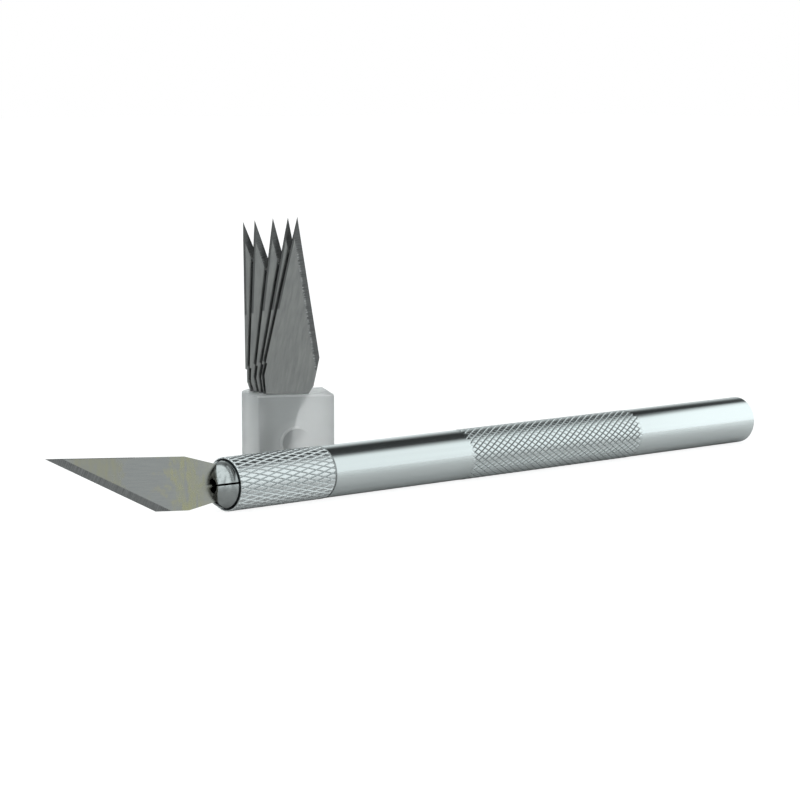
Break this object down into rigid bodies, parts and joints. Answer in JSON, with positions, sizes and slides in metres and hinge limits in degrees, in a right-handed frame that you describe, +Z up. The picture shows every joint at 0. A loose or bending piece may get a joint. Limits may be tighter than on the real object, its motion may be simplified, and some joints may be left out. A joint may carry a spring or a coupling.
{
  "type": "craft knife",
  "caption": "Round aluminium craft knife with a knurled collar, a slotted chuck and a clamped pointed blade, with a clear block of spare blades beside it.",
  "frame": {"origin": "on the knife's axis, where the knurled grip ends and the plain rear shank begins", "axes": "+X along the knife towards its rear end, the blade towards -X; +Z up from the surface that the knife lies on; the clamped blade's plane holds the X axis and leans 10 degrees from upright, its top towards +Y"},
  "size_m": [0.1476, 0.0381, 0.0419],
  "materials": {
    "handle_aluminium": "satin, with a knurled grip",
    "collar_aluminium": "coarse knurl",
    "chuck_metal": "polished",
    "blade_steel": "ground and lightly stained",
    "frosted_plastic": "frosted, translucent"
  },
  "bodies": {
    "handle": {"handle": "handle_aluminium"},
    "collar": {"collar": "collar_aluminium"},
    "chuck": {"chuck_stem": "chuck_metal"},
    "jaw_1": {"chuck_jaw_1": "chuck_metal"},
    "jaw_2": {"chuck_jaw_2": "chuck_metal"},
    "jaw_3": {"chuck_jaw_3": "chuck_metal"},
    "jaw_4": {"chuck_jaw_4": "chuck_metal"},
    "blade": {"blade": "blade_steel"},
    "block": {"blade_block": "frosted_plastic"},
    "spare_1": {"spare_blade_1": "blade_steel"},
    "spare_2": {"spare_blade_2": "blade_steel"},
    "spare_3": {"spare_blade_3": "blade_steel"},
    "spare_4": {"spare_blade_4": "blade_steel"},
    "spare_5": {"spare_blade_5": "blade_steel"}
  },
  "joints": [
    {"name": "collar_turn", "type": "hinge", "parent": "handle", "child": "collar", "pos_m": [-0.0689, 0, 0], "axis": [-1, 0, 0], "range_deg": [0, 1080]},
    {"name": "chuck_advance", "type": "slide", "parent": "collar", "child": "chuck", "axis": [-1, 0, 0], "range_m": [0, 0.00211]},
    {"name": "jaw_1_open", "type": "hinge", "parent": "chuck", "child": "jaw_1", "pos_m": [-0.07425, 0.00156, 0.00109], "axis": [0, 0.5736, -0.8192], "range_deg": [0, 1.26]},
    {"name": "jaw_2_open", "type": "hinge", "parent": "chuck", "child": "jaw_2", "pos_m": [-0.07425, -0.00109, 0.00156], "axis": [0, 0.8192, 0.5736], "range_deg": [0, 1.26]},
    {"name": "jaw_3_open", "type": "hinge", "parent": "chuck", "child": "jaw_3", "pos_m": [-0.07425, -0.00156, -0.00109], "axis": [0, -0.5736, 0.8192], "range_deg": [0, 1.26]},
    {"name": "jaw_4_open", "type": "hinge", "parent": "chuck", "child": "jaw_4", "pos_m": [-0.07425, 0.00109, -0.00156], "axis": [0, -0.8192, -0.5736], "range_deg": [0, 1.26]},
    {"name": "blade_slide", "type": "slide", "parent": "chuck", "child": "blade", "axis": [-0.9971, 0.0133, 0.0756], "range_m": [0, 0.015]},
    {"name": "block_lift", "type": "slide", "parent": "handle", "child": "block", "axis": [0, 0, 1], "range_m": [0, 0.025]},
    {"name": "spare_1_pull", "type": "slide", "parent": "block", "child": "spare_1", "axis": [0.1886, -0.1129, 0.9755], "range_m": [0, 0.014]},
    {"name": "spare_2_pull", "type": "slide", "parent": "block", "child": "spare_2", "axis": [0.1564, -0.0936, 0.9833], "range_m": [0, 0.014]},
    {"name": "spare_3_pull", "type": "slide", "parent": "block", "child": "spare_3", "axis": [0.1023, -0.0613, 0.9929], "range_m": [0, 0.014]},
    {"name": "spare_4_pull", "type": "slide", "parent": "block", "child": "spare_4", "axis": [0.0344, -0.0206, 0.9992], "range_m": [0, 0.014]},
    {"name": "spare_5_pull", "type": "slide", "parent": "block", "child": "spare_5", "axis": [-0.009, 0.0054, 0.9999], "range_m": [0, 0.014]}
  ],
  "couplings": [
    {"joint": "chuck_advance", "follows": "collar_turn", "m_per_rad": 0.00011141},
    {"joint": "jaw_1_open", "follows": "collar_turn", "ratio": 0.0011574},
    {"joint": "jaw_2_open", "follows": "collar_turn", "ratio": 0.0011574},
    {"joint": "jaw_3_open", "follows": "collar_turn", "ratio": 0.0011574},
    {"joint": "jaw_4_open", "follows": "collar_turn", "ratio": 0.0011574}
  ]
}
